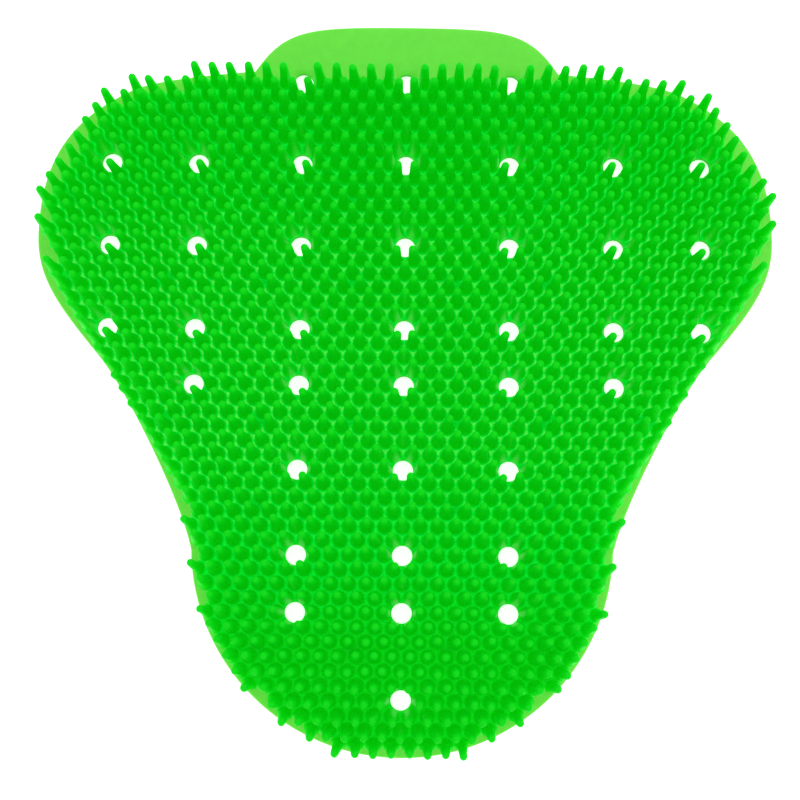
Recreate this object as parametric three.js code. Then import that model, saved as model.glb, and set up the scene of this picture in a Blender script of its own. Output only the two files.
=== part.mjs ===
// Urinal deodoriser screen: one flexible moulding that lies on its feet, bristles up.
// Millimetres. +Z is up, +Y points to the grip tab, the floor is Z = 0.
// The mould is laid out about the lattice centre, then set on the middle of its own plan.
import * as THREE from 'three';

// Plate
const PLATE_THICKNESS = 1.4;
const FOOT_HEIGHT = 2.6;
const LOBE_HALF_WIDTH = 93.5;
const LOBE_CENTRE_Y = 38.1;
const TAB_HALF_WIDTH = 39.0;
const TAB_TOP_Y = 93.8;
const TAB_LENGTH = 12.0;
const SHOULDER_X = 70.8;
const SHOULDER_Y = 76.3;
const SHOULDER_ANGLE = 27.0;
const FLANK_X = 76.9;
const FLANK_Y = 6.7;
const FLANK_ANGLE = 50.0;
const NECK_HALF_WIDTH = 52.4;
const NECK_Y = -43.3;
const TONGUE_CENTRE_Y = -40.1;
const TONGUE_RADIUS = 52.7;

// The end of the tongue sags from the last row of feet.
const TONGUE_SAG = 2.3;

// Bristles
const BRISTLE_PITCH = 4.42;
const ROW_RATIO = 0.8088;
const BRISTLE_HEIGHT = 11.0;
const CREST_MARGIN = 1.5;
const LOBE_MARGIN = 2.25;
const FLANK_MARGIN = 0.8;

// Bare rim left outside the outermost bristles
const RIM_WIDTH = 0.4;

// Drain holes, one in place of a bristle
const HOLE_RADIUS = 2.6;

// Feet on the back
const FOOT_PITCH = 24.1;
const FOOT_RADIUS = 2.1;
const FOOT_TIP_RADIUS = 1.7;
const FOOT_SIDES = 6;
const FOOT_ROW_SHIFT = 2.5;

// Lattice rows run from 0 at the tab to 48 at the end of the tongue.
const CENTRE_ROW = 22;
const LOBE_ROW = 3;
const FLANK_ROW = 14;
const LAST_ROW = 48;
const HOLE_ROWS = [
  { row: 0, reach: 1 },
  { row: 6, reach: 3 },
  { row: 12, reach: 3 },
  { row: 18, reach: 3 },
  { row: 22, reach: 2 },
  { row: 28, reach: 1 },
  { row: 34, reach: 1 },
  { row: 38, reach: 1 },
  { row: 44, reach: 0 },
];
const HOLE_COLUMNS = [0, 6, 12, 17];
const FOOT_ROWS = [0, 6, 12, 22, 28, 38];

// What follows from the sizes above
const ROW_STEP = BRISTLE_PITCH * ROW_RATIO;
const CELL_CORNER_Y = (ROW_STEP ** 2 - (BRISTLE_PITCH / 2) ** 2) / (2 * ROW_STEP);
const UNDERSIDE = FOOT_HEIGHT;
const TOP_FACE = FOOT_HEIGHT + PLATE_THICKNESS;
const BRISTLE_TOP = TOP_FACE + BRISTLE_HEIGHT;
const TONGUE_END_Y = TONGUE_CENTRE_Y - TONGUE_RADIUS;

// Directions of the six neighbours of a site, in half pitches along X and rows, counter-clockwise.
const NEIGHBOURS = [
  [2, 0],
  [1, -1],
  [-1, -1],
  [-2, 0],
  [-1, 1],
  [1, 1],
];

function siteX(k) {
  return (k * BRISTLE_PITCH) / 2;
}

function siteY(row) {
  return (CENTRE_ROW - row) * ROW_STEP;
}

function siteKey(k, row) {
  return `${k},${row}`;
}

// A point at a distance from another, the angle in degrees down from +X.
function offset(point, angle, distance) {
  const a = THREE.MathUtils.degToRad(angle);
  return new THREE.Vector2(point.x + distance * Math.cos(a), point.y - distance * Math.sin(a));
}

function curveTo(path, end, startHandle, endHandle) {
  path.bezierCurveTo(startHandle.x, startHandle.y, endHandle.x, endHandle.y, end.x, end.y);
}

// The right half of the outline, from the middle of the tab to the end of the tongue.
function halfOutline() {
  const crown = new THREE.Vector2(0, TAB_TOP_Y);
  const tabFoot = new THREE.Vector2(TAB_HALF_WIDTH, TAB_TOP_Y - TAB_LENGTH);
  const shoulder = new THREE.Vector2(SHOULDER_X, SHOULDER_Y);
  const lobe = new THREE.Vector2(LOBE_HALF_WIDTH, LOBE_CENTRE_Y);
  const flank = new THREE.Vector2(FLANK_X, FLANK_Y);
  const neck = new THREE.Vector2(NECK_HALF_WIDTH, NECK_Y);
  const shoulderRun = tabFoot.distanceTo(shoulder);
  const lobeRise = shoulder.y - lobe.y;
  const lobeDrop = lobe.y - flank.y;
  const flankRun = flank.distanceTo(neck);

  const tab = new THREE.Path();
  tab.moveTo(crown.x, crown.y);
  curveTo(tab, tabFoot, offset(crown, 0, 0.65 * TAB_HALF_WIDTH), offset(tabFoot, 237, 1.15 * TAB_LENGTH));

  const shoulderStart = offset(tabFoot, 6, 0.2 * shoulderRun);
  const shoulderEnd = offset(shoulder, SHOULDER_ANGLE + 180, 0.23 * shoulderRun);
  const crest = new THREE.Path();
  crest.moveTo(tabFoot.x, tabFoot.y);
  curveTo(crest, shoulder, shoulderStart, shoulderEnd);

  const lobeStart = offset(shoulder, SHOULDER_ANGLE, 0.37 * lobeRise);
  const lobeEnd = offset(lobe, -90, 0.6 * lobeRise);
  const round = new THREE.Path();
  round.moveTo(shoulder.x, shoulder.y);
  curveTo(round, lobe, lobeStart, lobeEnd);

  const haunchStart = offset(lobe, 90, 0.36 * lobeDrop);
  const haunchEnd = offset(flank, -FLANK_ANGLE, 0.53 * lobeDrop);
  const haunch = new THREE.Path();
  haunch.moveTo(lobe.x, lobe.y);
  curveTo(haunch, flank, haunchStart, haunchEnd);

  const waistStart = offset(flank, 180 - FLANK_ANGLE, 0.2 * flankRun);
  const waistEnd = offset(neck, -82, 0.2 * flankRun);
  const waist = new THREE.Path();
  waist.moveTo(flank.x, flank.y);
  curveTo(waist, neck, waistStart, waistEnd);

  const start = Math.atan2(neck.y - TONGUE_CENTRE_Y, neck.x);
  const tongue = new THREE.Path();
  tongue.absarc(0, TONGUE_CENTRE_Y, TONGUE_RADIUS, start, -Math.PI / 2, true);

  const points = [];
  const runs = [
    [tab, 9],
    [crest, 4],
    [round, 8],
    [haunch, 6],
    [waist, 7],
    [tongue, 13],
  ];
  for (const [path, steps] of runs) {
    const run = path.curves.length > 0 ? path.curves[path.curves.length - 1] : path;
    points.push(...run.getPoints(steps).slice(0, -1));
  }
  points.push(new THREE.Vector2(0, TONGUE_END_Y));
  return points;
}

// The whole outline, counter-clockwise.
function fullOutline() {
  const right = halfOutline().reverse();
  const left = right.slice(1, -1).reverse();
  return [...right, ...left.map((p) => new THREE.Vector2(-p.x, p.y))];
}

function insideBy(outline, x, y, margin) {
  let inside = false;
  let nearest = Infinity;
  for (let i = 0; i < outline.length; i += 1) {
    const a = outline[i];
    const b = outline[(i + 1) % outline.length];
    if (a.y > y !== b.y > y && x < ((b.x - a.x) * (y - a.y)) / (b.y - a.y) + a.x) {
      inside = !inside;
    }
    const dx = b.x - a.x;
    const dy = b.y - a.y;
    const t = THREE.MathUtils.clamp(((x - a.x) * dx + (y - a.y) * dy) / (dx * dx + dy * dy), 0, 1);
    nearest = Math.min(nearest, Math.hypot(a.x + t * dx - x, a.y + t * dy - y));
  }
  return inside && nearest >= margin;
}

// How far the middle of a bristle stays inside the rim in each stretch of rows
function edgeMargin(row) {
  if (row < LOBE_ROW) {
    return CREST_MARGIN;
  }
  return row < FLANK_ROW ? LOBE_MARGIN : FLANK_MARGIN;
}

const outline = fullOutline();

// Every lattice site is a bristle or a hole.
const sites = new Map();
for (const { row, reach } of HOLE_ROWS) {
  for (const column of HOLE_COLUMNS.slice(0, reach + 1)) {
    for (const k of [-2 * column, 2 * column]) {
      if (insideBy(outline, siteX(k), siteY(row), HOLE_RADIUS + 0.4)) {
        sites.set(siteKey(k, row), { k, row, hole: true });
      }
    }
  }
}
const reachK = Math.ceil((2 * LOBE_HALF_WIDTH) / BRISTLE_PITCH);
for (let row = 0; row <= LAST_ROW; row += 1) {
  for (let k = -reachK; k <= reachK; k += 1) {
    const onLattice = (k + row) % 2 === 0;
    const free = !sites.has(siteKey(k, row));
    if (onLattice && free && insideBy(outline, siteX(k), siteY(row), edgeMargin(row))) {
      sites.set(siteKey(k, row), { k, row, hole: false });
    }
  }
}

// Vertices of the one skin, shared by every face that meets at them.
const positions = [];
const faces = [];
const vertexAt = new Map();

function vertex(key, x, y, z) {
  if (!vertexAt.has(key)) {
    vertexAt.set(key, positions.length / 3);
    positions.push(x, y, z);
  }
  return vertexAt.get(key);
}

// A hole's rim passes through the corners of its cell and the middles between them.
function onRim(hole, x, y) {
  const reach = Math.hypot(x, y);
  return [siteX(hole.k) + (x / reach) * HOLE_RADIUS, siteY(hole.row) + (y / reach) * HOLE_RADIUS];
}

// Corner i of a site's cell lies between its neighbours i and i + 1.
function corner(site, i) {
  const [ka, ra] = NEIGHBOURS[i];
  const [kb, rb] = NEIGHBOURS[(i + 1) % 6];
  const trio = [
    [site.k, site.row],
    [site.k + ka, site.row + ra],
    [site.k + kb, site.row + rb],
  ];
  const present = trio.map(([k, row]) => sites.get(siteKey(k, row))).filter((s) => s !== undefined);
  const sumK = trio[0][0] + trio[1][0] + trio[2][0];
  const sumRow = trio[0][1] + trio[1][1] + trio[2][1];

  // The point at equal distance from the three sites
  const rows = trio.map((t) => t[1]);
  const top = Math.min(...rows);
  const pairOnTop = rows.filter((row) => row === top).length === 2;
  const cx = siteX(sumK / 3);
  const cy = pairOnTop ? siteY(top) - CELL_CORNER_Y : siteY(top + 1) + CELL_CORNER_Y;

  let x = cx;
  let y = cy;
  const hole = present.find((s) => s.hole);
  if (hole !== undefined) {
    [x, y] = onRim(hole, cx - siteX(hole.k), cy - siteY(hole.row));
  } else if (present.length < 3) {
    const mx = present.reduce((sum, s) => sum + siteX(s.k), 0) / present.length;
    const my = present.reduce((sum, s) => sum + siteY(s.row), 0) / present.length;
    let pull = 0.9;
    do {
      pull -= 0.1;
      x = mx + pull * (cx - mx);
      y = my + pull * (cy - my);
    } while (pull > 0.15 && !insideBy(outline, x, y, RIM_WIDTH));
  }
  return vertex(`c${sumK},${sumRow}`, x, y, TOP_FACE);
}

// The vertex half way along a hole's side, shared with the bristle beside it
function sideMiddle(hole, other) {
  const dx = siteX(other[0]) - siteX(hole.k);
  const dy = siteY(other[1]) - siteY(hole.row);
  const [x, y] = onRim(hole, dx, dy);
  return vertex(`m${hole.k + other[0]},${hole.row + other[1]}`, x, y, TOP_FACE);
}

// The foot of each cell, counter-clockwise, and the open sides that border on the bare plate
const openSides = new Map();
const holeRims = [];
for (const site of sites.values()) {
  const loop = [];
  for (let i = 0; i < 6; i += 1) {
    const [dk, dr] = NEIGHBOURS[i];
    const beside = [site.k + dk, site.row + dr];
    const other = sites.get(siteKey(beside[0], beside[1]));
    const run = [corner(site, (i + 5) % 6)];
    if (site.hole) {
      run.push(sideMiddle(site, beside));
    } else if (other !== undefined && other.hole) {
      run.push(sideMiddle(other, [site.k, site.row]));
    }
    loop.push(...run);
    if (other === undefined) {
      run.push(corner(site, i));
      for (let j = 0; j + 1 < run.length; j += 1) {
        openSides.set(run[j], run[j + 1]);
      }
    }
  }
  if (site.hole) {
    holeRims.push(loop);
  } else {
    const tip = vertex(`t${siteKey(site.k, site.row)}`, siteX(site.k), siteY(site.row), BRISTLE_TOP);
    for (let i = 0; i < loop.length; i += 1) {
      faces.push([loop[i], loop[(i + 1) % loop.length], tip]);
    }
  }
}

function planPoint(index) {
  return new THREE.Vector2(positions[3 * index], positions[3 * index + 1]);
}

// The angle at corner c of a flat triangle, turning from a to b
function angleAt(c, a, b) {
  const u = planPoint(a).sub(planPoint(c));
  const v = planPoint(b).sub(planPoint(c));
  return Math.atan2(u.cross(v), u.dot(v));
}

// Swaps the shared side of two faces wherever that gives fuller triangles.
function relax(triangles) {
  for (let pass = 0; pass < 30; pass += 1) {
    const sides = new Map();
    triangles.forEach((t, n) => t.forEach((v, i) => sides.set(`${v},${t[(i + 1) % 3]}`, [n, i])));
    const touched = new Set();
    for (const [n, i] of sides.values()) {
      const [a, b, c] = [0, 1, 2].map((step) => triangles[n][(i + step) % 3]);
      const [m, j] = sides.get(`${b},${a}`) ?? [n, i];
      if (m > n && !touched.has(n) && !touched.has(m)) {
        const d = triangles[m][(j + 2) % 3];
        const opposite = angleAt(c, a, b) + angleAt(d, b, a);
        const convex = angleAt(a, d, c) > 0.001 && angleAt(b, c, d) > 0.001;
        if (opposite > Math.PI + 1e-6 && convex) {
          triangles[n] = [a, d, c];
          triangles[m] = [d, b, c];
          touched.add(n).add(m);
        }
      }
    }
    if (touched.size === 0) {
      break;
    }
  }
  return triangles;
}

// Fills a flat region between an outer loop and inner loops of vertices.
function fill(outer, inner, up) {
  const order = [...outer, ...inner.flat()];
  const loops = inner.map((loop) => loop.map(planPoint));
  let turn = 0;
  const cut = THREE.ShapeUtils.triangulateShape(outer.map(planPoint), loops).map((t) => {
    const [a, b, c] = t.map((index) => order[index]);
    turn += planPoint(b).sub(planPoint(a)).cross(planPoint(c).sub(planPoint(a)));
    return [a, b, c];
  });
  const upward = turn > 0 ? cut : cut.map(([a, b, c]) => [a, c, b]);
  for (const [a, b, c] of relax(upward)) {
    faces.push(up ? [a, b, c] : [a, c, b]);
  }
}

// A wall between two loops of the same length, the outer side on the right of the lower loop
function wall(lower, upper) {
  for (let i = 0; i < lower.length; i += 1) {
    const j = (i + 1) % lower.length;
    faces.push([lower[i], lower[j], upper[j]]);
    faces.push([lower[i], upper[j], upper[i]]);
  }
}

// The bare plate round the bristles
const rimTop = outline.map((p, i) => vertex(`rt${i}`, p.x, p.y, TOP_FACE));
const fieldLoops = [];
while (openSides.size > 0) {
  const loop = [];
  let at = openSides.keys().next().value;
  while (openSides.has(at)) {
    loop.push(at);
    const next = openSides.get(at);
    openSides.delete(at);
    at = next;
  }
  fieldLoops.push(loop);
}
fill(rimTop, fieldLoops, true);

// The edge of the plate
const rimUnder = outline.map((p, i) => vertex(`ru${i}`, p.x, p.y, UNDERSIDE));
wall(rimUnder, rimTop);

// The walls of the drain holes
const holeLoops = [];
for (const rim of holeRims) {
  const under = rim.map((index) => {
    const p = planPoint(index);
    return vertex(`hu${index}`, p.x, p.y, UNDERSIDE);
  });
  wall([...under].reverse(), [...rim].reverse());
  holeLoops.push(under);
}

// The feet, on their own wider grid between the rows of holes
const footLoops = [];
for (const row of FOOT_ROWS) {
  const y = siteY(row + FOOT_ROW_SHIFT);
  for (let column = -3.5; column <= 3.5; column += 1) {
    const x = column * FOOT_PITCH;
    if (insideBy(outline, x, y, FOOT_RADIUS + 1)) {
      const root = [];
      const tread = [];
      for (let i = 0; i < FOOT_SIDES; i += 1) {
        const a = (2 * Math.PI * i) / FOOT_SIDES;
        const key = `${row},${column},${i}`;
        const dx = Math.cos(a);
        const dy = Math.sin(a);
        root.push(vertex(`fr${key}`, x + FOOT_RADIUS * dx, y + FOOT_RADIUS * dy, UNDERSIDE));
        tread.push(vertex(`ft${key}`, x + FOOT_TIP_RADIUS * dx, y + FOOT_TIP_RADIUS * dy, 0));
      }
      wall(tread, root);
      fill(tread, [], false);
      footLoops.push(root);
    }
  }
}
fill(rimUnder, [...holeLoops, ...footLoops], false);

// The sag of the tongue: the plate curves down evenly from the last row of feet to its end,
// and the bristles on it turn with it.
const sagStart = siteY(FOOT_ROWS[FOOT_ROWS.length - 1] + FOOT_ROW_SHIFT) - FOOT_RADIUS;
const sagRun = sagStart - TONGUE_END_Y;
const sagCurve = (2 * TONGUE_SAG) / sagRun ** 2;
for (let i = 0; i < positions.length; i += 3) {
  const along = sagStart - positions[i + 1];
  if (along > 0) {
    const turn = sagCurve * along;
    const rise = positions[i + 2] - UNDERSIDE;
    positions[i + 1] -= rise * Math.sin(turn);
    positions[i + 2] = UNDERSIDE - (turn * along) / 2 + rise * Math.cos(turn);
  }
}

// The middle of the plan goes to the origin.
const box = new THREE.Box3().setFromArray(positions);
const middleY = (box.min.y + box.max.y) / 2;
for (let i = 0; i < positions.length; i += 3) {
  positions[i + 1] -= middleY;
}

const geometry = new THREE.BufferGeometry();
geometry.setAttribute('position', new THREE.Float32BufferAttribute(positions, 3));
geometry.setIndex(faces.flat());
geometry.computeVertexNormals();

const mat = new THREE.Mesh(
  geometry,
  new THREE.MeshStandardMaterial({ color: 0x12c41c, roughness: 0.35, metalness: 0.0 }),
);
mat.name = 'bristle_mat';

const screen = new THREE.Group();
screen.name = 'urinal_screen';
screen.add(mat);

export default screen;
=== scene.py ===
"""Urinal deodoriser screen: one soft bristle mat in translucent green plastic, lying on its feet.

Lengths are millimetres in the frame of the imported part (+Z up, +Y to the grip tab) until a mesh is made.
The mould is laid out about the centre of its lattice of bristles and holes, then moved onto the frame.
"""

from __future__ import annotations

import logging
import math
import random
from collections.abc import Iterable, Sequence
from dataclasses import dataclass, field
from enum import Enum
from typing import Any

import bpy
import numpy as np
from mathutils import Matrix, Vector
from mathutils.geometry import delaunay_2d_cdt

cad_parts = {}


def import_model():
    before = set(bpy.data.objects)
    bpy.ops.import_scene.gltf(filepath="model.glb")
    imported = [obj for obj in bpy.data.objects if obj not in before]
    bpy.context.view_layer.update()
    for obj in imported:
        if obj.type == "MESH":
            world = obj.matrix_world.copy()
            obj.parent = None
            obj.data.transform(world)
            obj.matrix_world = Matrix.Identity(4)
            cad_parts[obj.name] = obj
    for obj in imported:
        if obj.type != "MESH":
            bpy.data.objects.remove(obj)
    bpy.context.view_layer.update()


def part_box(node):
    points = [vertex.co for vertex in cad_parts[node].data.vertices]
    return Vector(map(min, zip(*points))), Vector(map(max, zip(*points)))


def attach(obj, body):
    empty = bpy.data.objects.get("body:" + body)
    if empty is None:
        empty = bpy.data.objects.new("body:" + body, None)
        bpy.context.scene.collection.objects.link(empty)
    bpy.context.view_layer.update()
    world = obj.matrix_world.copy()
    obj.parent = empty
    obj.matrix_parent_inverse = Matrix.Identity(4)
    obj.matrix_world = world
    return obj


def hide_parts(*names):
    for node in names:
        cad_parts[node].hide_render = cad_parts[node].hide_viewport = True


LOG = logging.getLogger("screen")
MM = 0.001
PHOTO_PIXELS = 800
SENSOR = 36.0

# What a vertex tells the plastic. Its thinness is the share of painted back-light that its colour takes: the web
# between bristles and the plate's edge painted light, the web over a foot painted with its shadow. BARE goes in its
# rise and HOLE_WALL, which paints shade on the wall of a hole, in its thinness.
BARE = -1.0
HOLE_WALL = -1.0
RIM_BACKLIGHT = 1.0
SHEET_BACKLIGHT = 0.9
WEB_BACKLIGHT = 0.48
FILLET_BACKLIGHT = 0.36
HOLE_LIP_BACKLIGHT = 0.2
OVER_FOOT_BACKLIGHT = 0.12
FOOT_BACKLIGHT = 0.1
UNDERSIDE_BACKLIGHT = 0.6

Site = tuple[int, int]
Colour = tuple[float, float, float, float]


class Part(Enum):
    """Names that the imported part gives."""

    MAT = "bristle_mat"
    BODY = "root"
    PLASTIC = "scented_plastic"


class Kind(Enum):
    """What stands on a site of the lattice."""

    BRISTLE = "bristle"
    HOLE = "hole"


def srgb(red: int, green: int, blue: int) -> Colour:
    """A colour in linear light from its 8-bit screen values.

    Args:
        red: Red from 0 to 255.
        green: Green from 0 to 255.
        blue: Blue from 0 to 255.

    Returns:
        Red, green, blue and a full alpha.
    """
    linear = []
    for value in (red, green, blue):
        v = value / 255
        linear.append(v / 12.92 if v <= 0.04045 else ((v + 0.055) / 1.055) ** 2.4)
    return (linear[0], linear[1], linear[2], 1.0)


def along(point: np.ndarray, angle: float, distance: float) -> np.ndarray:
    """A point at a distance from another.

    Args:
        point: Where to start.
        angle: Degrees down from +X.
        distance: How far to go.

    Returns:
        The new point.
    """
    a = math.radians(angle)
    return point + distance * np.array([math.cos(a), -math.sin(a)])


def bezier(ends: Sequence[np.ndarray], steps: int) -> np.ndarray:
    """Points on a cubic curve, without its last one.

    Args:
        ends: Start, start handle, end handle and end.
        steps: How many equal steps of the curve's own parameter.

    Returns:
        One row per point.
    """
    t = np.linspace(0, 1, steps, endpoint=False)[:, None]
    a, b, c, d = ends
    return (1 - t) ** 3 * a + 3 * (1 - t) ** 2 * t * b + 3 * (1 - t) * t**2 * c + t**3 * d


@dataclass
class Outline:
    """The plan of the plate: grip tab, two lobes, flanks and a round tongue."""

    half_width: float = 93.5
    lobe_centre_y: float = 38.1
    tab_half_width: float = 39.0
    tab_top_y: float = 93.8
    tab_length: float = 12.0
    shoulder: tuple[float, float] = (70.8, 76.3)
    shoulder_angle: float = 27.0
    flank: tuple[float, float] = (76.9, 6.7)
    flank_angle: float = 50.0
    neck: tuple[float, float] = (52.4, -43.3)
    tongue_centre_y: float = -40.1
    tongue_radius: float = 52.7

    @property
    def tongue_end_y(self) -> float:
        """Where the tongue ends."""
        return self.tongue_centre_y - self.tongue_radius

    def half(self, fineness: int) -> np.ndarray:
        """The right half, from the middle of the tab to the end of the tongue.

        Args:
            fineness: How many steps stand for each step of the solid's outline.

        Returns:
            One row per point.
        """
        crown = np.array([0.0, self.tab_top_y])
        foot = np.array([self.tab_half_width, self.tab_top_y - self.tab_length])
        shoulder, flank, neck = (np.array(p) for p in (self.shoulder, self.flank, self.neck))
        lobe = np.array([self.half_width, self.lobe_centre_y])
        crest = float(np.hypot(*(shoulder - foot)))
        waist = float(np.hypot(*(neck - flank)))
        rise, drop = shoulder[1] - lobe[1], lobe[1] - flank[1]
        slope = self.shoulder_angle
        runs = (
            (crown, along(crown, 0, 0.65 * foot[0]), along(foot, 237, 1.15 * self.tab_length), foot, 9),
            (foot, along(foot, 6, 0.2 * crest), along(shoulder, slope + 180, 0.23 * crest), shoulder, 4),
            (shoulder, along(shoulder, slope, 0.37 * rise), along(lobe, -90, 0.6 * rise), lobe, 8),
            (lobe, along(lobe, 90, 0.36 * drop), along(flank, -self.flank_angle, 0.53 * drop), flank, 6),
            (flank, along(flank, 180 - self.flank_angle, 0.2 * waist), along(neck, -82, 0.2 * waist), neck, 7),
        )
        points = [bezier(run[:4], run[4] * fineness) for run in runs]
        start = math.atan2(neck[1] - self.tongue_centre_y, neck[0])
        turn = np.linspace(start, -math.pi / 2, 13 * fineness + 1)
        arc = self.tongue_radius * np.stack([np.cos(turn), np.sin(turn)], axis=1)
        points.append(arc + [0.0, self.tongue_centre_y])
        return np.vstack(points)

    def loop(self, fineness: int) -> np.ndarray:
        """The whole outline, counter-clockwise, with the fineness of `half`."""
        right = self.half(fineness)[::-1]
        left = right[1:-1][::-1] * [-1.0, 1.0]
        right[0, 0] = right[-1, 0] = 0.0
        return np.vstack([right, left])


class Region:
    """The inside of a closed outline."""

    def __init__(self, loop: np.ndarray) -> None:
        """Keeps the corners of the outline and the sides between them."""
        self.start = loop
        self.side = np.roll(loop, -1, axis=0) - loop

    def depth(self, x: float, y: float) -> float:
        """How far inside a point is.

        Args:
            x: The point's X.
            y: The point's Y.

        Returns:
            The distance to the outline, below zero outside it.
        """
        offset = np.array([x, y]) - self.start
        share = np.clip((offset * self.side).sum(1) / (self.side**2).sum(1), 0, 1)
        nearest = float(np.hypot(*(offset - share[:, None] * self.side).T).min())
        above = self.start[:, 1] > y
        crossed = above != np.roll(above, -1)
        rise = np.where(crossed, self.side[:, 1], 1.0)
        cut = self.start[:, 0] + offset[:, 1] / rise * self.side[:, 0]
        return nearest if int((crossed & (x < cut)).sum()) % 2 else -nearest


@dataclass
class Lattice:
    """The staggered grid that bristles and drain holes share. Rows run from the tab to the tongue."""

    pitch: float = 4.42
    row_ratio: float = 0.8088
    centre_row: int = 22
    last_row: int = 48
    around: tuple[Site, ...] = ((2, 0), (1, -1), (-1, -1), (-2, 0), (-1, 1), (1, 1))

    @property
    def row_step(self) -> float:
        """The distance between two rows."""
        return self.pitch * self.row_ratio

    @property
    def corner_rise(self) -> float:
        """How far a cell's corner stands off the row that holds two of its three sites."""
        return (self.row_step**2 - (self.pitch / 2) ** 2) / (2 * self.row_step)

    def place(self, site: Site) -> np.ndarray:
        """Where a site is in plan."""
        return np.array([site[0] * self.pitch / 2, (self.centre_row - site[1]) * self.row_step])

    def beside(self, site: Site, side: int) -> Site:
        """The neighbour of a site on one of its six sides."""
        dk, dr = self.around[side % 6]
        return (site[0] + dk, site[1] + dr)

    def centre(self, trio: Sequence[Site]) -> np.ndarray:
        """The point at equal distance from three neighbouring sites."""
        rows = [row for _, row in trio]
        top = min(rows)
        x = sum(k for k, _ in trio) / 3 * self.pitch / 2
        two_on_top = rows.count(top) == 2
        row = top if two_on_top else top + 1
        lean = -self.corner_rise if two_on_top else self.corner_rise
        return np.array([x, self.place((0, row))[1] + lean])


@dataclass
class Field:
    """Which sites of the lattice hold a bristle and which a drain hole."""

    lattice: Lattice
    outline: Outline
    hole_radius: float = 2.6
    crest_margin: float = 1.5
    lobe_margin: float = 2.25
    flank_margin: float = 0.8
    lobe_row: int = 3
    flank_row: int = 14
    hole_columns: tuple[int, ...] = (0, 6, 12, 17)
    hole_rows: tuple[tuple[int, int], ...] = (
        (0, 1), (6, 3), (12, 3), (18, 3), (22, 2), (28, 1), (34, 1), (38, 1), (44, 0),
    )
    sites: dict[Site, Kind] = field(default_factory=dict)

    def __post_init__(self) -> None:
        """Settles every site by the solid's own outline, holes before bristles."""
        region = Region(self.outline.loop(1))
        for row, reach in self.hole_rows:
            for column in self.hole_columns[: reach + 1]:
                for k in {-2 * column, 2 * column}:
                    if region.depth(*self.lattice.place((k, row))) >= self.hole_radius + 0.4:
                        self.sites[(k, row)] = Kind.HOLE
        reach = math.ceil(2 * self.outline.half_width / self.lattice.pitch)
        for row in range(self.lattice.last_row + 1):
            for k in range(-reach, reach + 1):
                free = (k + row) % 2 == 0 and (k, row) not in self.sites
                if free and region.depth(*self.lattice.place((k, row))) >= self.margin(row):
                    self.sites[(k, row)] = Kind.BRISTLE

    def margin(self, row: int) -> float:
        """How far the middle of a bristle stays inside the rim in a row."""
        if row < self.lobe_row:
            return self.crest_margin
        return self.lobe_margin if row < self.flank_row else self.flank_margin

    def of_kind(self, kind: Kind) -> list[Site]:
        """The sites of one kind, in the order of their rows."""
        return sorted((s for s, k in self.sites.items() if k is kind), key=lambda s: (s[1], s[0]))


@dataclass
class Sag:
    """The tongue curves down evenly from the last row of feet to its end."""

    start_y: float
    end_y: float
    underside: float
    depth: float = 2.3

    def bend(self, points: np.ndarray) -> np.ndarray:
        """Bends points of the flat mould.

        Args:
            points: One row of X, Y and Z per point.

        Returns:
            The bent points.
        """
        bent = points.copy()
        run = np.maximum(self.start_y - points[:, 1], 0.0)
        turn = 2 * self.depth / (self.start_y - self.end_y) ** 2 * run
        rise = points[:, 2] - self.underside
        past = run > 0
        bent[past, 1] -= (rise * np.sin(turn))[past]
        bent[past, 2] = (self.underside - turn * run / 2 + rise * np.cos(turn))[past]
        return bent


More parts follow.
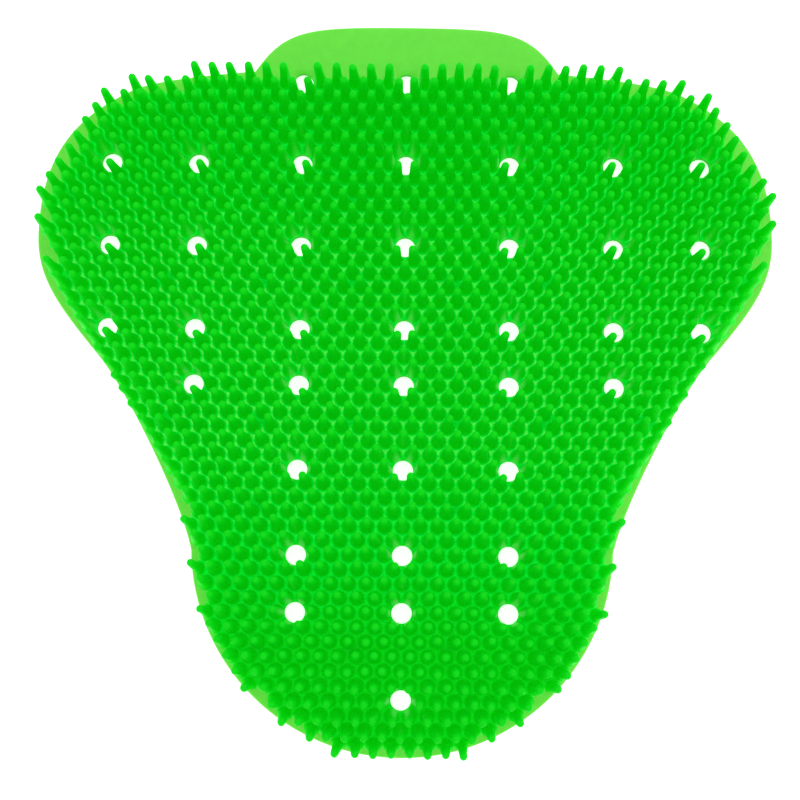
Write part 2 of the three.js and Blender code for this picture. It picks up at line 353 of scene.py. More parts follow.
class Skin:
    """Vertices and faces of one closed skin, with what its plastic needs to know at each vertex."""

    def __init__(self) -> None:
        """Starts empty."""
        self.points: list[tuple[float, float, float]] = []
        self.thin: list[float] = []
        self.rise: list[float] = []
        self.faces: list[tuple[int, int, int]] = []
        self.keys: dict[Any, int] = {}

    def add(self, x: float, y: float, z: float, thin: float = 0.0, rise: float = 0.0) -> int:
        """Adds a vertex.

        Args:
            x: Its X.
            y: Its Y.
            z: Its Z.
            thin: How much painted light, as if coming through from behind, its colour takes, from 0 to 1, or -1 on
                the wall of a hole, which is painted shaded.
            rise: How far up its bristle it stands, from 0 to 1, or -1 on the bare plate.

        Returns:
            Its index.
        """
        self.points.append((float(x), float(y), float(z)))
        self.thin.append(thin)
        self.rise.append(rise)
        return len(self.points) - 1

    def shared(self, key: Any, plan: np.ndarray, z: float, thin: float, rise: float = 0.0) -> int:
        """A vertex that several cells share, made by the first one that asks for its key."""
        if key not in self.keys:
            self.keys[key] = self.add(plan[0], plan[1], z, thin, rise)
        return self.keys[key]

    def plan(self, index: int) -> np.ndarray:
        """Where a vertex is in plan."""
        return np.array(self.points[index][:2])

    def band(self, lower: Sequence[int], upper: Sequence[int]) -> None:
        """Joins two loops of the same length.

        Args:
            lower: The first loop. The outer side is on its right.
            upper: The loop after it.
        """
        count = len(lower)
        for i in range(count):
            j = (i + 1) % count
            self.faces.append((lower[i], lower[j], upper[j]))
            self.faces.append((lower[i], upper[j], upper[i]))

    def zip(self, outer: Sequence[int], inner: Sequence[int], centre: np.ndarray) -> None:
        """Joins two counter-clockwise loops of any lengths round a centre, seen from above.

        Args:
            outer: The outer loop.
            inner: The inner loop.
            centre: The point in plan that both go round.
        """

        def spread(loop: Sequence[int], first: float) -> tuple[list[int], list[float]]:
            angles = []
            for index in loop:
                dx, dy = self.plan(index) - centre
                angles.append((math.atan2(dy, dx) - first) % (2 * math.pi))
            order = sorted(range(len(loop)), key=lambda n: angles[n])
            return [loop[n] for n in order], [angles[n] for n in order]

        dx, dy = self.plan(outer[0]) - centre
        first = math.atan2(dy, dx) - 1e-6
        far, far_at = spread(outer, first)
        near, near_at = spread(inner, first)
        i = j = 0
        while i < len(far) or j < len(near):
            next_far = far_at[i + 1] if i + 1 < len(far) else far_at[0] + 2 * math.pi
            next_near = near_at[j + 1] if j + 1 < len(near) else near_at[0] + 2 * math.pi
            a, b = far[i % len(far)], near[j % len(near)]
            if j >= len(near) or (i < len(far) and next_far <= next_near):
                self.faces.append((a, far[(i + 1) % len(far)], b))
                i += 1
            else:
                self.faces.append((a, near[(j + 1) % len(near)], b))
                j += 1

    def fill(self, outer: Sequence[int], inner: Iterable[Sequence[int]], up: bool, extra: Sequence[int] = ()) -> None:
        """Fills a flat region between an outer loop and inner loops with even triangles.

        Args:
            outer: The outer loop, counter-clockwise.
            inner: The inner loops, in any direction.
            up: Whether the faces look up.
            extra: Vertices inside the region that the triangles also use.
        """
        loops = [list(outer), *[list(loop) for loop in inner]]
        order = [index for loop in loops for index in loop] + list(extra)
        edges, at = [], 0
        for loop in loops:
            edges += [(at + n, at + (n + 1) % len(loop)) for n in range(len(loop))]
            at += len(loop)
        cut = delaunay_2d_cdt([Vector(self.plan(n)) for n in order], edges, [], 0, 1e-7, True)
        source = [order[ids[0]] for ids in cut[3]]
        regions = [Region(np.array([self.plan(n) for n in loop])) for loop in loops]
        boxes = [(r.start.min(0), r.start.max(0)) for r in regions]
        for face in cut[2]:
            trio = [source[n] for n in face]
            middle = sum(self.plan(n) for n in trio) / 3
            if regions[0].depth(*middle) < 0:
                continue
            if any(
                (low <= middle).all() and (middle <= high).all() and region.depth(*middle) > 0
                for region, (low, high) in zip(regions[1:], boxes[1:], strict=True)
            ):
                continue
            a, b, c = trio
            (ax, ay), (bx, by) = self.plan(b) - self.plan(a), self.plan(c) - self.plan(a)
            self.faces.append((a, b, c) if (ax * by > ay * bx) == up else (a, c, b))


@dataclass
class Bristle:
    """A tapered round bristle with a fillet at its foot and a domed tip."""

    height: float = 11.0
    foot_radius: float = 1.96
    root_radius: float = 1.66
    shaft_radius: float = 1.28
    neck_radius: float = 0.96
    dome_radius: float = 0.74
    saddle: float = 0.3
    sides: int = 12
    stray: float = 0.2
    comb: float = 0.9
    comb_y: float = -32.0
    comb_reach: float = 30.0
    over_hole: float = 0.3
    lean_power: float = 1.5
    foot_height: float = 0.2
    root_height: float = 1.0
    shaft_height: float = 4.2
    neck_drop: float = 0.9
    dome_drop: float = 0.28
    dome_rise: float = 0.97
    cell_share: float = 0.94
    cell_step: float = 0.04

    def lean(self, at: np.ndarray, hole_side: int, chance: random.Random) -> np.ndarray:
        """How far a tip strays from the upright: all are combed a little to the tab above the tongue.

        Args:
            at: The middle of the bristle in plan.
            hole_side: 1 or -1 where the hole just above it lies to the right or left, 0 without one.
            chance: Where the part by chance comes from.

        Returns:
            The tip's way in X and Y.
        """
        combed = self.comb * math.exp(-(((at[1] - self.comb_y) / self.comb_reach) ** 2))
        sideways = self.over_hole * hole_side
        return np.array([sideways + chance.gauss(0, self.stray), combed + chance.gauss(0, self.stray)])

    def rings(self) -> tuple[tuple[float, float, float], ...]:
        """Radius, height above the plate and share of painted back-light of each ring, from the foot up."""
        return (
            (self.foot_radius, self.foot_height, FILLET_BACKLIGHT),
            (self.root_radius, self.root_height, 0.0),
            (self.shaft_radius, self.shaft_height, 0.0),
            (self.neck_radius, self.height - self.neck_drop, 0.0),
        )

    def build(
        self, skin: Skin, loop: Sequence[int], at: np.ndarray, base: float, lean: np.ndarray, clear: float
    ) -> None:
        """Grows one bristle out of its cell.

        Args:
            skin: The skin that it becomes part of.
            loop: The cell's corners, counter-clockwise.
            at: The middle of the bristle in plan.
            base: The height of the plate's top face.
            lean: How far the tip strays from the upright.
            clear: How much painted back-light the web takes at its foot.
        """
        cell = np.array([skin.plan(index) for index in loop]) - at
        turns = np.linspace(0, 2 * math.pi, self.sides, endpoint=False)
        reach = [self.reach(cell, turn) for turn in turns]
        below, rings = list(loop), self.rings()
        for level, (radius, z, thin) in enumerate(rings):
            share = z / self.height
            ring = []
            for turn, room in zip(turns, reach, strict=True):
                most = room * (self.cell_share - self.cell_step * level)
                r = radius if level == len(rings) - 1 else min(radius, most)
                x, y = at + r * np.array([math.cos(turn), math.sin(turn)]) + lean * share**self.lean_power
                ring.append(skin.add(x, y, base + z, thin * clear, share))
            if level == 0:
                skin.zip(below, ring, at)
            else:
                skin.band(below, ring)
            below = ring
        self.dome(skin, below, at + lean, base)

    def dome(self, skin: Skin, below: Sequence[int], tip: np.ndarray, base: float) -> None:
        """Closes a bristle with a small dome on half as many sides.

        Args:
            skin: The skin that it becomes part of.
            below: The last ring of the bristle.
            tip: The middle of the tip in plan.
            base: The height of the plate's top face.
        """
        cap = []
        for turn in np.linspace(0, 2 * math.pi, self.sides // 2, endpoint=False):
            x, y = tip + self.dome_radius * np.array([math.cos(turn), math.sin(turn)])
            cap.append(skin.add(x, y, base + self.height - self.dome_drop, 0.0, self.dome_rise))
        apex = skin.add(tip[0], tip[1], base + self.height, 0.0, 1.0)
        for i, here in enumerate(cap):
            left, right = below[2 * i], below[2 * i + 1]
            after = cap[(i + 1) % len(cap)]
            far = below[(2 * i + 2) % len(below)]
            skin.faces += [(left, right, here), (right, after, here), (right, far, after)]
            skin.faces.append((here, after, apex))

    @staticmethod
    def reach(cell: np.ndarray, turn: float) -> float:
        """How far it is to the edge of a cell, about its middle, in one direction.

        Args:
            cell: The cell's corners about its middle, counter-clockwise.
            turn: The direction, in radians from +X.

        Returns:
            The distance.
        """
        ray = np.array([math.cos(turn), math.sin(turn)])
        side = np.roll(cell, -1, axis=0) - cell
        cross = ray[0] * side[:, 1] - ray[1] * side[:, 0]
        cross = np.where(np.abs(cross) < 1e-9, 1e-9, cross)
        distance = (cell[:, 0] * side[:, 1] - cell[:, 1] * side[:, 0]) / cross
        share = (cell[:, 0] * ray[1] - cell[:, 1] * ray[0]) / cross
        hit = distance[(share > -1e-6) & (share < 1 + 1e-6) & (distance > 0)]
        return float(hit.min()) if len(hit) else 1.0


@dataclass
class Foot:
    """A small round foot on the back."""

    pitch: float = 24.1
    rows: tuple[int, ...] = (0, 6, 12, 22, 28, 38)
    row_shift: float = 2.5
    radius: float = 2.1
    tip_radius: float = 1.7
    height: float = 2.6
    fillet: float = 0.3
    sides: int = 20

    def places(self, lattice: Lattice, region: Region) -> list[np.ndarray]:
        """The middles of the feet that fit inside the plate."""
        found = []
        for row in self.rows:
            y = (lattice.centre_row - row - self.row_shift) * lattice.row_step
            for column in range(-4, 4):
                x = (column + 0.5) * self.pitch
                if region.depth(x, y) >= self.radius + 1:
                    found.append(np.array([x, y]))
        return found

    def build(self, skin: Skin, at: np.ndarray) -> list[int]:
        """Hangs a foot under the plate.

        Args:
            skin: The skin that it becomes part of.
            at: Its middle in plan.

        Returns:
            The loop where it leaves the underside.
        """
        levels = (
            (self.tip_radius - self.fillet, 0.0),
            (self.tip_radius, self.fillet),
            (self.radius, self.height - self.fillet),
            (self.radius + self.fillet, self.height),
        )
        turns = np.linspace(0, 2 * math.pi, self.sides, endpoint=False)
        rings = []
        for radius, z in levels:
            ring = at + radius * np.stack([np.cos(turns), np.sin(turns)], axis=1)
            rings.append([skin.add(x, y, z, FOOT_BACKLIGHT) for x, y in ring])
        for lower, upper in zip(rings, rings[1:], strict=False):
            skin.band(lower, upper)
        middle = skin.add(at[0], at[1], 0.0, FOOT_BACKLIGHT)
        tread = rings[0]
        for i, here in enumerate(tread):
            skin.faces.append((tread[(i + 1) % len(tread)], here, middle))
        return rings[-1]


@dataclass
class Plate:
    """The thin plate: its edge, its holes and what fills the space between them."""

    thickness: float = 1.4
    edge_radius: float = 0.35
    rim_width: float = 0.5
    hole_lip: float = 0.22
    hole_throat: float = 0.08

    def edge(self, skin: Skin, loop: np.ndarray, top: float) -> tuple[list[int], list[int]]:
        """Rounds the edge of the plate.

        Args:
            skin: The skin that it becomes part of.
            loop: The outline in plan.
            top: The height of the top face.

        Returns:
            The innermost loops on the top face and on the underside.
        """
        side = np.roll(loop, -1, axis=0) - np.roll(loop, 1, axis=0)
        inward = np.stack([-side[:, 1], side[:, 0]], axis=1) / np.hypot(*side.T)[:, None]
        r, t = self.edge_radius, self.thickness
        bevel = r * (1 - math.sqrt(0.5))
        levels = ((r, t), (bevel, t - bevel), (0, t - r), (0, r), (bevel, bevel), (r, 0))
        rings = []
        for inset, depth in levels:
            ring = loop + inset * inward
            # The outer rings of the rounded edge take the most painted back-light, painting the edge lighter.
            thin = SHEET_BACKLIGHT if inset == r else RIM_BACKLIGHT
            rings.append([skin.add(x, y, top - depth, thin, BARE) for x, y in ring])
        for lower, upper in zip(rings, rings[1:], strict=False):
            skin.band(lower, upper)
        return rings[-1], rings[0]

    def hole(self, skin: Skin, rim: Sequence[int], at: np.ndarray, top: float) -> list[int]:
        """Makes the wall of a drain hole, with rounded lips.

        Args:
            skin: The skin that it becomes part of.
            rim: Its loop on the top face, counter-clockwise.
            at: Its middle in plan.
            top: The height of the top face.

        Returns:
            Its loop on the underside.
        """
        spokes = [skin.plan(index) - at for index in rim]
        levels = (
            (self.hole_throat, self.hole_lip),
            (self.hole_throat, self.thickness - self.hole_lip),
            (0.0, self.thickness),
        )
        above = list(rim)
        for narrowing, depth in levels:
            ring = []
            for spoke in spokes:
                x, y = at + spoke * (1 - narrowing / float(np.hypot(*spoke)))
                # The wall is marked for painted shade.
                ring.append(skin.add(x, y, top - depth, HOLE_WALL))
            skin.band(ring[::-1], above[::-1])
            above = ring
        return above


class Signal:
    """A socket of a node tree that takes part in arithmetic."""

    def __init__(self, tree: bpy.types.NodeTree, socket: bpy.types.NodeSocket) -> None:
        """Wraps a node's output."""
        self.tree = tree
        self.socket = socket

    def math(self, operation: str, *terms: Signal | float) -> Signal:
        """Adds a Math node.

        Args:
            operation: Its operation.
            terms: What goes into it.

        Returns:
            Its result.
        """
        node = self.tree.nodes.new("ShaderNodeMath")
        node.operation = operation
        for socket, term in zip(node.inputs, terms, strict=False):
            if isinstance(term, Signal):
                self.tree.links.new(term.socket, socket)
            else:
                socket.default_value = term
        return Signal(self.tree, node.outputs[0])

    def __add__(self, other: Signal | float) -> Signal:
        """Self plus other."""
        return self.math("ADD", self, other)

    def __radd__(self, other: float) -> Signal:
        """Other plus self."""
        return self.math("ADD", other, self)

    def __sub__(self, other: Signal | float) -> Signal:
        """Self minus other."""
        return self.math("SUBTRACT", self, other)

    def __rsub__(self, other: float) -> Signal:
        """Other minus self."""
        return self.math("SUBTRACT", other, self)

    def __mul__(self, other: Signal | float) -> Signal:
        """Self times other."""
        return self.math("MULTIPLY", self, other)

    def __rmul__(self, other: float) -> Signal:
        """Other times self."""
        return self.math("MULTIPLY", other, self)

    def clamp(self) -> Signal:
        """Self kept from 0 to 1."""
        return self.math("MINIMUM", self.math("MAXIMUM", self, 0.0), 1.0)


class Shader:
    """The node tree of one material."""

    def __init__(self, name: str) -> None:
        """Starts a material with an empty tree."""
        self.material = bpy.data.materials.new(name)
        self.material.use_nodes = True
        self.tree = self.material.node_tree
        self.tree.nodes.clear()

    def node(self, kind: str, settings: dict[str, Any], values: dict[str | int, Any]) -> bpy.types.Node:
        """Adds a node.

        Args:
            kind: The type of node.
            settings: Its own settings. The stops of a ramp are pairs of place and colour.
            values: A value or a Signal for each socket, by name or number.

        Returns:
            The node.
        """
        node = self.tree.nodes.new(kind)
        for name, setting in settings.items():
            if name == "stops":
                ramp = node.color_ramp
                while len(ramp.elements) < len(setting):
                    ramp.elements.new(1.0)
                for element, (place, colour) in zip(ramp.elements, setting, strict=True):
                    element.position = place
                    element.color = colour
            else:
                setattr(node, name, setting)
        for name, value in values.items():
            if isinstance(value, Signal):
                self.tree.links.new(value.socket, node.inputs[name])
            else:
                node.inputs[name].default_value = value
        return node

    def out(self, node: bpy.types.Node, socket: str | int = 0) -> Signal:
        """An output of a node as a Signal."""
        return Signal(self.tree, node.outputs[socket])

    def place(self) -> Signal:
        """Where a point is on the object, in metres."""
        return self.out(self.node("ShaderNodeTexCoord", {}, {}), "Object")

    def attribute(self, name: str) -> Signal:
        """A number kept at the vertices."""
        return self.out(self.node("ShaderNodeAttribute", {"attribute_name": name}, {}), "Fac")

    def noise(self, scale: float, detail: float = 2.0, roughness: float = 0.5) -> Signal:
        """Soft noise over the object, from 0 to 1.

        Args:
            scale: How many waves there are to a metre.
            detail: How many finer layers it has.
            roughness: How strong the finer layers are.

        Returns:
            The noise.
        """
        values = {"Vector": self.place(), "Scale": scale, "Detail": detail, "Roughness": roughness}
        return self.out(self.node("ShaderNodeTexNoise", {"noise_dimensions": "3D"}, values), "Fac")

    def mix(self, share: Signal | float, a: Signal | Colour, b: Signal | Colour, blend: str = "MIX") -> Signal:
        """Mixes two colours.

        Args:
            share: How much of the second there is.
            a: The first colour.
            b: The second colour.
            blend: How they mix.

        Returns:
            The mixed colour.
        """
        settings = {"data_type": "RGBA", "blend_type": blend, "clamp_factor": True}
        return self.out(self.node("ShaderNodeMix", settings, {0: share, 6: a, 7: b}), 2)

    def bump(self, height: Signal, strength: float, distance: float) -> Signal:
        """A normal from a height, with the distance in metres."""
        values = {"Height": height, "Strength": strength, "Distance": distance}
        return self.out(self.node("ShaderNodeBump", {}, values), 0)

    def finish(self, surface: bpy.types.Node) -> bpy.types.Material:
        """Gives the surface to the material's output and returns the material."""
        self.node("ShaderNodeOutputMaterial", {}, {"Surface": self.out(surface)})
        return self.material


@dataclass(frozen=True)
class ScentedPlastic:
    """Soft translucent green plastic: deep where bristles stack up, painted light where the plate is thin, as if lit
    through it from behind, painted shade on the hole walls, a painted tone on the tips and a faint glow over all, a
    painted light that lifts its shade.
    """

    deep: Colour = srgb(8, 209, 3)
    lit: Colour = srgb(8, 220, 24)
    # Painted tone on the tips, standing in for how the light falls on them: the upper part of each bristle is painted
    # a little darker and bluer.
    tip: Colour = srgb(6, 200, 18)
    # Painted back-light: the lines of web between bristle bases.
    painted_gap_light: Colour = srgb(0, 230, 72)
    # Painted back-light: the pale web where it is lightest, at the corners between bristles.
    clear: Colour = srgb(140, 236, 118)
    sheet: Colour = srgb(105, 203, 69)
    # Painted light along the rounded edge of the plate.
    rim: Colour = srgb(122, 216, 90)
    # Painted shade on the walls of the drain holes.
    painted_hole_shade: Colour = srgb(84, 150, 62)
    roughness: float = 0.5
    depth: float = 0.004
    spread: tuple[float, float, float] = (0.5, 1.0, 0.5)
    weight: float = 0.4
    gloss: float = 0.12
    sheen: float = 0.25
    sheen_roughness: float = 0.4
    ior: float = 1.45
    glow: float = 0.19
    cloud_scale: float = 22.0
    fleck_scale: float = 420.0
    ripple_scale: float = 300.0
    ripple_strength: float = 0.25
    ripple_height: float = 0.0004
    painted_tip_from: float = 0.25
    backlight_from: float = 0.45

    def make(self) -> bpy.types.Material:
        """Builds the material."""
        shader = Shader("scented_green_plastic")
        thin, rise = shader.attribute("thin"), shader.attribute("rise")
        cloud = shader.noise(self.cloud_scale, 1.0)
        fleck = shader.noise(self.fleck_scale)
        body = shader.mix(0.1 + 0.3 * cloud, self.deep, self.lit)
        # Painted tone by height: the upper part of each bristle takes the tips' painted colour.
        body = shader.mix((1.5 * (rise - self.painted_tip_from)).clamp(), body, self.tip)
        # The web between bristle bases painted light, as if lit through the thin plate from behind.
        web = shader.mix((2.2 * (thin - self.backlight_from)).clamp(), self.painted_gap_light, self.clear)
        colour = shader.mix((2.6 * thin).clamp(), body, web)
        # The walls of the holes painted shaded.
        colour = shader.mix((0.0 - thin).clamp(), colour, self.painted_hole_shade)
        # The bare plate in its own colour, with painted light along its rounded edge.
        bare = shader.mix((thin - SHEET_BACKLIGHT).clamp() * (1 / (RIM_BACKLIGHT - SHEET_BACKLIGHT)), self.sheet, self.rim)
        colour = shader.mix((0.0 - rise).clamp(), colour, bare)
        shade = 0.93 + 0.14 * fleck
        tint = shader.node("ShaderNodeCombineColor", {}, {"Red": shade, "Green": shade, "Blue": shade})
        colour = shader.mix(1.0, colour, shader.out(tint), "MULTIPLY")
        normal = shader.bump(shader.noise(self.ripple_scale, 3.0), self.ripple_strength, self.ripple_height)
        values = {
            "Base Color": colour,
            "Roughness": self.roughness + 0.16 * (fleck - 0.5),
            "Normal": normal,
            "Subsurface Weight": self.weight,
            "Subsurface Radius": self.spread,
            "Subsurface Scale": self.depth,
            "Specular IOR Level": self.gloss,
            "Sheen Weight": self.sheen,
            "Sheen Roughness": self.sheen_roughness,
            "Sheen Tint": self.painted_gap_light,
            "Emission Color": colour,
            "Emission Strength": self.glow,
            "IOR": self.ior,
        }
        return shader.finish(shader.node("ShaderNodeBsdfPrincipled", {}, values))


@dataclass(frozen=True)
class PaleTable:
    """The even pale table under the mat, lit from below as a light table is."""

    colour: Colour = srgb(246, 247, 246)
    patch: Colour = srgb(240, 241, 240)
    glow: Colour = srgb(255, 255, 255)
    strength: float = 0.8
    roughness: float = 0.6
    gloss: float = 0.2
    cloud_scale: float = 3.0

    def make(self) -> bpy.types.Material:
        """Builds the material."""
        shader = Shader("pale_table")
        cloud = shader.noise(self.cloud_scale)
        colour = shader.mix(cloud, self.colour, self.patch)
        values = {
            "Base Color": colour,
            "Roughness": self.roughness + 0.05 * (cloud - 0.5),
            "Emission Color": self.glow,
            "Emission Strength": self.strength,
            "Specular IOR Level": self.gloss,
        }
        return shader.finish(shader.node("ShaderNodeBsdfPrincipled", {}, values))


@dataclass
class BristleMat:
    """The whole moulding."""

    outline: Outline = field(default_factory=Outline)
    lattice: Lattice = field(default_factory=Lattice)
    bristle: Bristle = field(default_factory=Bristle)
    foot: Foot = field(default_factory=Foot)
    plate: Plate = field(default_factory=Plate)
    finish: ScentedPlastic = field(default_factory=ScentedPlastic)
    fineness: int = 4
    seed: int = 7
    # Painted back-light on the web by Y: full across the waist, fading on the crest and on the tongue.
    backlight_at: tuple[float, ...] = (-66.0, -48.0, -15.0, 34.0, 62.0)
    backlight_share: tuple[float, ...] = (0.12, 0.45, 1.0, 1.0, 0.5)
    grip_step: float = 2.0
    grip_room: float = 3.6

    @property
    def top(self) -> float:
        """The height of the plate's top face."""
        return self.foot.height + self.plate.thickness

    def make(self) -> bpy.types.Object:
        """Builds the moulding, dresses it and sets it on the frame.

        Returns:
            The finished piece.
        """
        field_of = Field(self.lattice, self.outline)
        skin = Skin()
        loop = self.outline.loop(self.fineness)
        region = Region(loop)
        feet = self.foot.places(self.lattice, region)
        edge_top, edge_under = self.plate.edge(skin, loop, self.top)
        open_sides, hole_rims = self.cells(skin, field_of, region, feet)
        skin.fill(edge_top, self.loops(open_sides), up=True, extra=self.grip(skin, field_of, region))
        under = [self.plate.hole(skin, rim, at, self.top) for rim, at in hole_rims]
        under += [self.foot.build(skin, at) for at in feet]
        skin.fill(edge_under, under, up=False, extra=self.backing(skin, field_of, region, feet))
        piece = self.mesh(skin)
        LOG.info("%s: %d bristles, %d holes, %d feet, %d triangles", piece.name,
                 len(field_of.of_kind(Kind.BRISTLE)), len(hole_rims), len(feet), len(skin.faces))
        return piece

    def corner(
        self, skin: Skin, field_of: Field, region: Region, trio: Sequence[Site], feet: Sequence[np.ndarray]
    ) -> int:
        """The vertex where three cells meet.

        Args:
            skin: The skin that it belongs to.
            field_of: What stands on each site.
            region: The inside of the outline.
            trio: The three sites.
            feet: The middles of the feet.

        Returns:
            Its index.
        """
        key = ("corner", sum(k for k, _ in trio), sum(row for _, row in trio))
        if key in skin.keys:
            return skin.keys[key]
        centre = self.lattice.centre(trio)
        present = [site for site in trio if site in field_of.sites]
        plan = centre
        hole = next((s for s in present if field_of.sites[s] is Kind.HOLE), None)
        if hole is not None:
            plan = self.on_rim(field_of, hole, centre)
        elif len(present) < 3:
            middle = sum(self.lattice.place(s) for s in present) / len(present)
            pull = 0.95
            while pull > 0.15 and region.depth(*(middle + pull * (centre - middle))) < self.plate.rim_width:
                pull -= 0.05
            plan = middle + pull * (centre - middle)
        if len(present) < 3:
            return skin.shared(key, plan, self.top, SHEET_BACKLIGHT, BARE)
        if hole is not None:
            return skin.shared(key, plan, self.top, HOLE_LIP_BACKLIGHT)
        return skin.shared(key, plan, self.top, self.web_backlight(plan, feet))

    def web_backlight(self, plan: np.ndarray, feet: Sequence[np.ndarray]) -> float:
        """How much painted back-light the web takes at a point: little over a foot, a painted shadow of the foot."""
        nearest = min(float(np.hypot(*(plan - at))) for at in feet)
        return OVER_FOOT_BACKLIGHT if nearest < self.foot.radius + 0.4 else self.backlight_along(plan)

    def backlight_along(self, plan: np.ndarray) -> float:
        """How much painted back-light the web takes: most across the waist, less on the crest and on the tongue."""
        return float(np.interp(float(plan[1]), self.backlight_at, self.backlight_share))

    def on_rim(self, field_of: Field, hole: Site, point: np.ndarray) -> np.ndarray:
        """The point of a hole's rim in the direction of another point."""
        at = self.lattice.place(hole)
        spoke = point - at
        return at + spoke / float(np.hypot(*spoke)) * field_of.hole_radius

    def side(self, skin: Skin, field_of: Field, site: Site, other: Site, ends: tuple[int, int]) -> list[int]:
        """The vertices between two corners of a cell.

        Args:
            skin: The skin that they belong to.
            field_of: What stands on each site.
            site: The cell's own site.
            other: The site across the side.
            ends: The corners before and after.

        Returns:
            Their indices, in the cell's own direction.
        """
        pair = (site, other)
        key = ("side", site[0] + other[0], site[1] + other[1])
        hole = next((s for s in pair if field_of.sites.get(s) is Kind.HOLE), None)
        if hole is None:
            present = other in field_of.sites
            plan = (skin.plan(ends[0]) + skin.plan(ends[1])) / 2
            z = self.top + (self.bristle.saddle if present else 0.0)
            if not present:
                return [skin.shared(key, plan, z, SHEET_BACKLIGHT, BARE)]
            return [skin.shared(key, plan, z, WEB_BACKLIGHT * self.backlight_along(plan))]
        far = other if hole == site else site
        thin, rise = (HOLE_LIP_BACKLIGHT, 0.0) if far in field_of.sites else (SHEET_BACKLIGHT, BARE)
        middle = skin.shared(key, self.on_rim(field_of, hole, self.lattice.place(far)), self.top, thin, rise)
        run = []
        for a, b in ((ends[0], middle), (middle, ends[1])):
            plan = self.on_rim(field_of, hole, (skin.plan(a) + skin.plan(b)) / 2)
            run.append(skin.shared(("rim", *sorted((a, b))), plan, self.top, thin, rise))
        return [run[0], middle, run[1]]

    def cells(
        self, skin: Skin, field_of: Field, region: Region, feet: Sequence[np.ndarray]
    ) -> tuple[dict[int, int], list[tuple[list[int], np.ndarray]]]:
        """Lays the floor of each cell and grows the bristles.

        Args:
            skin: The skin that they become part of.
            field_of: What stands on each site.
            region: The inside of the outline.
            feet: The middles of the feet.

        Returns:
            The open sides, as vertex to next vertex, and each hole's rim with its middle.
        """
        chance = random.Random(self.seed)
        open_sides: dict[int, int] = {}
        hole_rims = []
        for site in field_of.of_kind(Kind.HOLE) + field_of.of_kind(Kind.BRISTLE):
            ring = [self.lattice.beside(site, i) for i in range(6)]
            corners = [
                self.corner(skin, field_of, region, (site, ring[i], ring[(i + 1) % 6]), feet) for i in range(6)
            ]
            loop = []
            for i in range(6):
                ends = (corners[i - 1], corners[i])
                run = [ends[0], *self.side(skin, field_of, site, ring[i], ends)]
                loop += run
                if ring[i] not in field_of.sites:
                    run.append(ends[1])
                    open_sides.update(zip(run, run[1:], strict=False))
            at = self.lattice.place(site)
            if field_of.sites[site] is Kind.HOLE:
                hole_rims.append((loop, at))
            else:
                k, row = site
                hole_side = sum(s for s in (-1, 1) if field_of.sites.get((k + s, row - 1)) is Kind.HOLE)
                lean = self.bristle.lean(at, hole_side, chance)
                self.bristle.build(skin, loop, at, self.top, lean, self.backlight_along(at))
        return open_sides, hole_rims

    @staticmethod
    def loops(sides: dict[int, int]) -> list[list[int]]:
        """Closed loops from sides that say which vertex comes next."""
        left = dict(sides)
        found = []
        while left:
            at = next(iter(left))
            loop = []
            while at in left:
                loop.append(at)
                at = left.pop(at)
            found.append(loop)
        return found

    def grip(self, skin: Skin, field_of: Field, region: Region) -> list[int]:
        """Vertices on the top face of the tab, so that its triangles are even.

        Args:
            skin: The skin that they belong to.
            field_of: What stands on each site.
            region: The inside of the outline.

        Returns:
            Their indices.
        """
        low = float(self.lattice.place((0, 0))[1])
        sites = np.array([self.lattice.place(site) for site in field_of.sites])
        found = []
        for y in np.arange(low, self.outline.tab_top_y, self.grip_step):
            for x in np.arange(-self.outline.tab_half_width, self.outline.tab_half_width, self.grip_step):
                clear_of_cells = float(np.hypot(*(sites - [x, y]).T).min()) > self.grip_room
                if clear_of_cells and region.depth(x, y) > 1.2:
                    found.append(skin.add(x, y, self.top, SHEET_BACKLIGHT, BARE))
        return found

    def backing(self, skin: Skin, field_of: Field, region: Region, feet: Sequence[np.ndarray]) -> list[int]:
        """Vertices on the underside, under the bristles, so that it can curve with the tongue.

        Args:
            skin: The skin that they belong to.
            field_of: What stands on each site.
            region: The inside of the outline.
            feet: The middles of the feet.

        Returns:
            Their indices.
        """
        found = []
        for site in field_of.of_kind(Kind.BRISTLE):
            plan = self.lattice.place(site)
            clear_of_feet = all(float(np.hypot(*(plan - at))) > self.foot.radius + 0.8 for at in feet)
            if clear_of_feet and region.depth(*plan) > 1.0:
                found.append(skin.add(plan[0], plan[1], self.foot.height, UNDERSIDE_BACKLIGHT))
        return found

    def mesh(self, skin: Skin) -> bpy.types.Object:
        """Makes the piece from its skin, in the place of the solid.

        Args:
            skin: The finished skin.

        Returns:
            The piece, with its plastic, riding on its body.
        """
        last_foot = (self.lattice.centre_row - self.foot.rows[-1] - self.foot.row_shift) * self.lattice.row_step
        sag = Sag(last_foot - self.foot.radius, self.outline.tongue_end_y, self.foot.height)
        points = sag.bend(np.array(skin.points))
        points[:, 1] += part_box(Part.MAT.value)[1].y / MM - self.outline.tab_top_y
        data = bpy.data.meshes.new("bristle_mat_moulding")
        data.from_pydata((points * MM).tolist(), [], skin.faces)
        data.polygons.foreach_set("use_smooth", [True] * len(data.polygons))
        for name, numbers in (("thin", skin.thin), ("rise", skin.rise)):
            data.attributes.new(name, "FLOAT", "POINT").data.foreach_set("value", numbers)
        data.materials.append(self.finish.make())
        data.update()
        piece = bpy.data.objects.new("mat_moulding", data)
        bpy.context.scene.collection.objects.link(piece)
        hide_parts(Part.MAT.value)
        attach(piece, Part.BODY.value)
        return piece


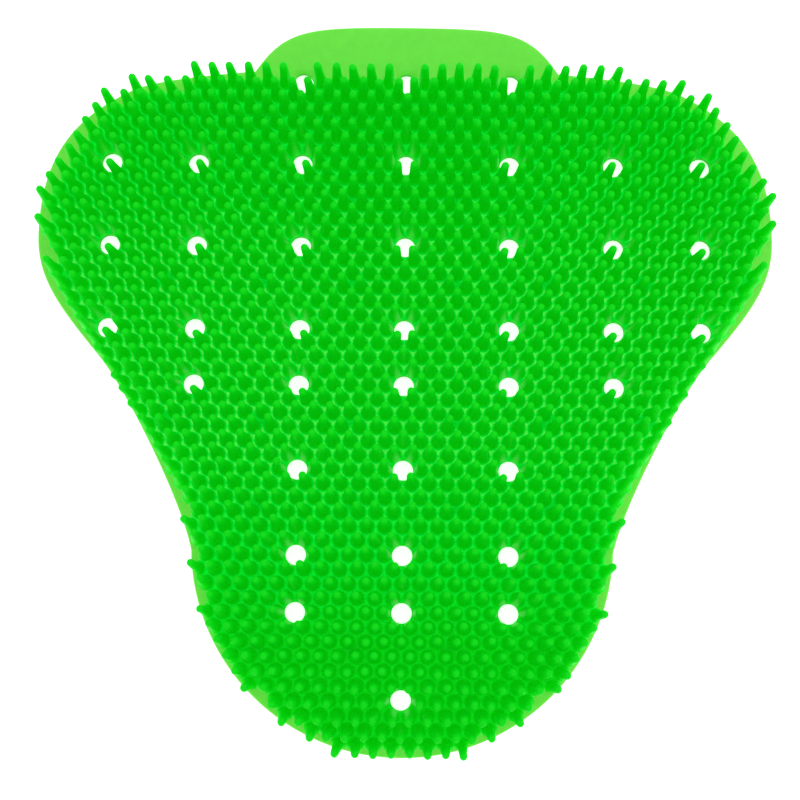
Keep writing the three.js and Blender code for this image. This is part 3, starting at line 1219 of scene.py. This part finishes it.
@dataclass
class PhotoView:
    """The camera, high over the mat and a little towards the tongue, tilted to the tab."""

    eye: tuple[float, float, float] = (0.0, -63.4, 326.0)
    tilt: float = 4.985
    roll: float = 0.57
    focal_pixels: float = 1294.9
    axis_pixel: tuple[float, float] = (402.4, 524.0)

    def make(self) -> bpy.types.Object:
        """Adds the camera and gives it to the scene."""
        data = bpy.data.cameras.new("photo_view")
        data.sensor_width = SENSOR
        data.lens = self.focal_pixels * SENSOR / PHOTO_PIXELS
        data.shift_x = (PHOTO_PIXELS / 2 - self.axis_pixel[0]) / PHOTO_PIXELS
        data.shift_y = (self.axis_pixel[1] - PHOTO_PIXELS / 2) / PHOTO_PIXELS
        data.clip_start, data.clip_end = 0.01, 20.0
        camera = bpy.data.objects.new("photo_view", data)
        bpy.context.scene.collection.objects.link(camera)
        turn = Matrix.Rotation(math.radians(self.tilt), 4, "X") @ Matrix.Rotation(math.radians(self.roll), 4, "Z")
        camera.matrix_world = Matrix.Translation(Vector(self.eye) * MM) @ turn
        bpy.context.scene.camera = camera
        return camera


@dataclass(frozen=True)
class Softbox:
    """A large soft light."""

    name: str
    place: tuple[float, float, float]
    size: float
    power: float
    colour: tuple[float, float, float] = (1.0, 1.0, 1.0)

    def make(self) -> bpy.types.Object:
        """Adds the light, turned to the middle of the mat."""
        data = bpy.data.lights.new(self.name, "AREA")
        data.shape = "DISK"
        data.size = self.size
        data.energy = self.power
        data.color = self.colour
        light = bpy.data.objects.new(self.name, data)
        bpy.context.scene.collection.objects.link(light)
        light.location = self.place
        light.rotation_euler = (-Vector(self.place)).to_track_quat("-Z", "Y").to_euler()
        return light


@dataclass
class Studio:
    """The table, the lights and the air round them, in metres."""

    half_size: float = 3.0
    sky: Colour = (1.0, 1.0, 1.0, 1.0)
    sky_strength: float = 0.85
    table: PaleTable = field(default_factory=PaleTable)
    lights: tuple[Softbox, ...] = (
        Softbox("overhead", (0.15, 0.25, 1.2), 0.9, 1.0),
        Softbox("from_the_right", (0.9, 0.5, 0.8), 0.6, 1.6),
    )

    def make(self) -> None:
        """Builds the table, the lights and the sky."""
        s = self.half_size
        data = bpy.data.meshes.new("pale_table")
        data.from_pydata([(-s, -s, 0), (s, -s, 0), (s, s, 0), (-s, s, 0)], [], [(0, 1, 2, 3)])
        data.materials.append(self.table.make())
        table = bpy.data.objects.new("pale_table", data)
        bpy.context.scene.collection.objects.link(table)
        for light in self.lights:
            light.make()
        world = bpy.data.worlds.new("studio")
        world.use_nodes = True
        world.node_tree.nodes.clear()
        background = world.node_tree.nodes.new("ShaderNodeBackground")
        background.inputs["Color"].default_value = self.sky
        background.inputs["Strength"].default_value = self.sky_strength
        output = world.node_tree.nodes.new("ShaderNodeOutputWorld")
        world.node_tree.links.new(background.outputs[0], output.inputs["Surface"])
        bpy.context.scene.world = world
        bpy.context.scene.view_settings.view_transform = "Standard"


def main() -> None:
    """Builds the dressed part, its studio and its camera."""
    logging.basicConfig(level=logging.INFO, format="%(message)s")
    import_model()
    BristleMat().make()
    Studio().make()
    PhotoView().make()


if __name__ == "__main__":
    main()
